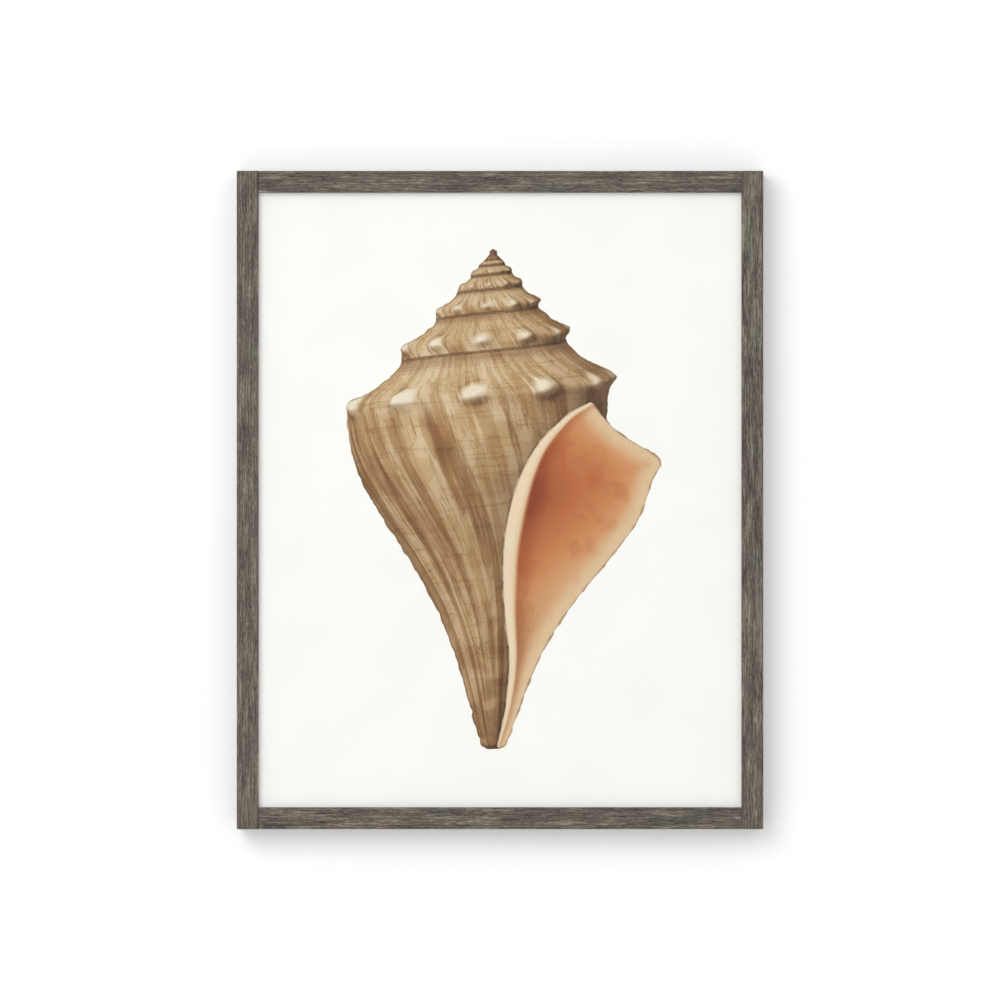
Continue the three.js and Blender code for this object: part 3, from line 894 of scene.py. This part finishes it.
for name, turn in sides.items():
    place = side_place(turn)
    for tab_name in sorted(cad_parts):
        if not tab_name.startswith("framers_point_"):
            continue
        corners = [place.inverted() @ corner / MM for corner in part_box(tab_name)]
        tip, top = np.min(corners, 0), np.max(corners, 0)
        if tip[0] > WALL_THICKNESS or tip[0] < 0:
            continue
        half = (top[2] - tip[2]) / 2
        length = top[0] - tip[0]
        tapered = np.linspace(0, POINT_TIP, 5)[:-1]
        along = np.concatenate([tapered, np.linspace(POINT_TIP, length, 22)])
        free = np.clip((length - along) / half, 0, 1)
        pointed = POINT_BLUNT + (1 - POINT_BLUNT) * np.clip(along / POINT_TIP, 0, 1)
        rounded = np.sqrt(1 - (1 - free) ** 2) + 0.05
        width = np.minimum(half * np.minimum(pointed, rounded), half)
        sideways = np.linspace(-1, 1, 9)[None] * width[:, None]
        lift = POINT_LIFT * np.clip((along - POINT_LIFT_FROM) / POINT_LIFT_RUN, 0, 1) ** 2
        ribbed = np.clip(along - POINT_RIB_FROM, 0, 1) * np.clip((POINT_RIB_TO - along) / 1.5, 0, 1)
        rib = POINT_RIB * ribbed[:, None] * np.exp(-((sideways / POINT_RIB_HALF_WIDTH) ** 2))
        rise = lift[:, None] + rib
        inwards = np.broadcast_to((tip[0] + along)[:, None], rise.shape)
        grid = np.stack([inwards, tip[1] + rise, tip[2] + half + sideways], -1)
        point = add_piece(tab_name + "_bent", *pressed_plate(grid, (0, POINT_STEEL, 0)), zinc, place)
        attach(point, "root")
        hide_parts(tab_name)

hanger_low, hanger_high = (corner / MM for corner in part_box("sawtooth_hanger"))
hanger_end = (hanger_high.x - hanger_low.x) / 2
along = np.arange(-hanger_end, hanger_end + 0.01, HANGER_STEP)
from_tooth = np.abs((along / TOOTH_PITCH + 0.5) % 1 - 0.5) * 2
depth = np.where(np.abs(along) < TOOTH_PITCH / 2, MIDDLE_NOTCH, TOOTH_DEPTH)
toothed = np.abs(along) < TOOTH_COUNT * TOOTH_PITCH / 2
lower = hanger_low.z + np.where(toothed, depth * np.clip(TOOTH_BLUNT - from_tooth, 0, 1), 0)
corner_cut = HANGER_CORNER * np.clip(1 - (hanger_end - np.abs(along)) / HANGER_CORNER, 0, 1) ** 2
lower, upper = lower + corner_cut, hanger_high.z - corner_cut
ramp = np.clip((HANGER_RAISED_HALF + HANGER_RAMP - np.abs(along)) / HANGER_RAMP, 0, 1)
rise = HANGER_RAISE * ramp**2 * (3 - 2 * ramp)
share = np.linspace(0, 1, 13)
rows_up = lower[:, None] + (upper - lower)[:, None] * share[None]
off_bead = (rows_up - hanger_low.z - BEAD_UP) / BEAD_HALF_WIDTH
bead = BEAD_RISE * ramp[:, None] * np.exp(-(off_bead**2))
sideways = np.broadcast_to(along[:, None], rows_up.shape)
grid = np.stack([sideways, hanger_low.y + rise[:, None] - bead, rows_up], -1)
pressed = pressed_plate(grid[::-1], (0, HANGER_STEEL, 0))
hanger = add_piece("toothed_hanger", *pressed, zinc, smooth_below=25)
face_back = Matrix.Rotation(QUARTER_TURN, 3, "Z")
for rivet_name in ("hanger_rivet_left", "hanger_rivet_right"):
    low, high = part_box(rivet_name)
    middle = (low + high) / 2 / MM
    ends = [(-CUT_PAST, RIVET_HOLE), (HANGER_STEEL + CUT_PAST, RIVET_HOLE)]
    hole = turned_form(ends, RIVET_HOLE_SIDES)
    carve(hanger, moved(hole, face_back, (middle.x, hanger_low.y, middle.z)))
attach(hanger, "root")
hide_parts("sawtooth_hanger")


# ---- The hanger's rivets
# Brass-plated steel, one through each end of the hanger: a domed head on the hanger, a shank
# through it and the board, and a clinched end sunk in the board's front.
RIVET_HEAD_HEIGHT = 1.1
RIVET_SHANK = 1.2
CLINCH_RADIUS = 2.2
CLINCH_THICKNESS = 0.4
TURNED_SIDES = 48


def turned_piece(name, node_name, profile, material):
    """A piece turned about the way to the wall, from a profile of (depth, radius) in its node."""
    low, high = (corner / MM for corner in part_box(node_name))
    middle = (low + high) / 2
    form = moved(turned_form(profile, TURNED_SIDES), face_back, (middle.x, low.y, middle.z))
    piece = add_piece(name, *form, material)
    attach(piece, "root")
    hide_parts(node_name)
    return piece


brass, brass_shader = new_material("brass_plate", Metallic=1.0)
tarnish = node(brass, "ShaderNodeTexNoise", {"Vector": millimetres(brass), "Scale": 1.3, "Detail": 4})
brass_stops = [(0.38, "#A98548"), (0.62, "#D2B06A")]
brass_colour = node(brass, "ShaderNodeValToRGB", {"Fac": tarnish}, brass_stops)
brass_gloss = node(brass, "ShaderNodeMapRange", {"Value": tarnish, "To Min": 0.4, "To Max": 0.2})
drive(brass, brass_shader, Base_Color=brass_colour, Roughness=brass_gloss)
for side_name in ("left", "right"):
    node_name = "hanger_rivet_" + side_name
    low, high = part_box(node_name)
    rivet_length = (high.y - low.y) / MM
    head_radius = (high.x - low.x) / 2 / MM
    under_head = rivet_length - RIVET_HEAD_HEIGHT
    dome = np.linspace(math.radians(8), math.radians(88), 9)
    profile = [(0, CLINCH_RADIUS), (CLINCH_THICKNESS, CLINCH_RADIUS), (CLINCH_THICKNESS, RIVET_SHANK)]
    profile += [(under_head, RIVET_SHANK), (under_head, head_radius)]
    profile += [(under_head + RIVET_HEAD_HEIGHT * math.sin(a), head_radius * math.cos(a)) for a in dome]
    rivet = turned_piece(node_name + "_domed", node_name, profile, brass)


# ---- The bumpers
# Discs of pressed wool felt with glue on one face, stuck to the lower back corners. Their edge is
# cut and a little hairy, and their open face is matted.
FELT_SOFTNESS = 0.35
FELT_FUZZ = 0.12

felt_surface = {"Roughness": 1.0, "IOR": 1.45, "Sheen_Weight": 0.4, "Sheen_Roughness": 0.6}
felt, felt_shader = new_material("pressed_felt", **felt_surface)
hairs = node(
    felt,
    "ShaderNodeTexNoise",
    {"Vector": millimetres(felt), "Scale": 3.0, "Detail": 5, "Roughness": 0.8, "Distortion": 2.0},
)
felt_stops = [(0.35, "#1E1D1C"), (0.5, "#2E2D2B"), (0.68, "#4C4A47")]
felt_colour = node(felt, "ShaderNodeValToRGB", {"Fac": hairs}, felt_stops)
felt_relief = node(felt, "ShaderNodeBump", {"Height": hairs, "Strength": 0.8, "Distance": 0.15 * MM})
drive(felt, felt_shader, Base_Color=felt_colour, Normal=felt_relief)
fuzz = np.random.default_rng(7)
for side_name in ("left", "right"):
    node_name = "bumper_" + side_name
    low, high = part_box(node_name)
    thickness = (high.y - low.y) / MM
    radius = (high.x - low.x) / 2 / MM
    rim = radius - FELT_SOFTNESS
    profile = [(0, radius - FELT_FUZZ)]
    profile += [(d, radius - FELT_FUZZ) for d in np.linspace(0.3, thickness - FELT_SOFTNESS, 4)]
    profile += [(thickness - 0.1, rim + 0.1), (thickness, rim - 0.15)]
    profile += [(thickness, share * rim) for share in (0.8, 0.6, 0.4, 0.2)]
    bumper = turned_piece(node_name + "_felt", node_name, profile, felt)
    for vertex in bumper.data.vertices:
        outwards = Vector((vertex.co.x - (low.x + high.x) / 2, 0, vertex.co.z - (low.z + high.z) / 2))
        vertex.co += outwards.normalized() * float(fuzz.uniform(-1, 1)) * FELT_FUZZ * MM
        if vertex.co.y > high.y - 0.2 * MM:
            vertex.co.y -= float(fuzz.uniform(0, 1)) * FELT_FUZZ * MM


# ---- The brads
# Headed steel nails, two through each stile into each rail's end, set just below the wood and dull
# from their coat of lacquer.
brad_steel, brad_shader = new_material("lacquered_brad_steel", Metallic=1.0)
brad_place = millimetres(brad_steel)
scale_marks = node(brad_steel, "ShaderNodeTexNoise", {"Vector": brad_place, "Scale": 2.0, "Detail": 4})
brad_stops = [(0.4, "#3C3A38"), (0.6, "#6B6866")]
brad_colour = node(brad_steel, "ShaderNodeValToRGB", {"Fac": scale_marks}, brad_stops)
brad_gloss = node(brad_steel, "ShaderNodeMapRange", {"Value": scale_marks, "To Min": 0.65, "To Max": 0.4})
drive(brad_steel, brad_shader, Base_Color=brad_colour, Roughness=brad_gloss)
for name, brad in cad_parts.items():
    if name.startswith("brad_"):
        for material_slot in brad.material_slots:
            material_slot.material = brad_steel


# ---- The wall, the floor and the light
# A plain white wall just behind the frame, open to the back so that the frame's back can be seen,
# a pale floor below, a large soft lamp up and to the left, and an even pale surround.
WALL_HALF = 3.0
WALL_GAP = 0.05 * MM
FLOOR_HALF = 8.0
FLOOR_DROP = 1.4


def stage_plane(name, corners, material):
    """A flat stage piece."""
    mesh = bpy.data.meshes.new(name)
    mesh.from_pydata(corners, [], [(0, 1, 2, 3)])
    mesh.materials.append(material)
    plane = bpy.data.objects.new(name, mesh)
    bpy.context.scene.collection.objects.link(plane)
    return plane


wall_paint, wall_shader = new_material("white_wall_paint", Roughness=0.95, Base_Color=linear("#E4E4E4"))
wall_shader.inputs["Specular IOR Level"].default_value = 0.1
behind = node(wall_paint, "ShaderNodeNewGeometry").outputs["Backfacing"]
open_back = node(wall_paint, "ShaderNodeBsdfTransparent")
either = node(wall_paint, "ShaderNodeMixShader", {0: behind, 1: wall_shader.outputs["BSDF"], 2: open_back})
wall_paint.node_tree.links.new(either.outputs[0], wall_paint.node_tree.nodes["Material Output"].inputs[0])
wall_y = cad_high.y + WALL_GAP
floor_z = cad_low.z - FLOOR_DROP
wall_corners = [(-WALL_HALF, floor_z), (WALL_HALF, floor_z)]
wall_corners += [(WALL_HALF, WALL_HALF), (-WALL_HALF, WALL_HALF)]
wall = stage_plane("wall", [(x, wall_y, z) for x, z in wall_corners], wall_paint)
wall.visible_shadow = False
wall.visible_diffuse = False
wall.visible_glossy = False
floor_paint = new_material("pale_floor", Roughness=0.9, Base_Color=linear("#DCDCDA"))[0]
floor_corners = [(-1, -1), (1, -1), (1, 1), (-1, 1)]
stage_plane("floor", [(x * FLOOR_HALF, y * FLOOR_HALF, floor_z) for x, y in floor_corners], floor_paint)

world = bpy.data.worlds.new("pale surround")
world.use_nodes = True
world.node_tree.nodes["Background"].inputs["Color"].default_value = (1, 1, 1, 1)
world.node_tree.nodes["Background"].inputs["Strength"].default_value = 0.85
bpy.context.scene.world = world
world.cycles_visibility.glossy = False


def soft_lamp(name, direction, distance, size, watts):
    """A square lamp that faces the middle of the frame, its distance and size in metres."""
    data = bpy.data.lights.new(name, "AREA")
    data.size = size
    data.energy = watts
    lamp = bpy.data.objects.new(name, data)
    lamp.location = frame_middle + Vector(direction).normalized() * distance
    lamp.rotation_euler = (-Vector(direction)).to_track_quat("-Z", "Y").to_euler()
    bpy.context.scene.collection.objects.link(lamp)
    return lamp


soft_lamp("softbox", (-0.46, -1.0, 0.46), 3.0, 1.8, 40)
soft_lamp("back_softbox", (0.7, 1.0, 0.6), 3.0, 1.8, 45)
front_fill = soft_lamp("front_fill", (0, -1.0, 0), 4.5, 0.6, 44)
front_fill.visible_glossy = False
front_fill.visible_transmission = False
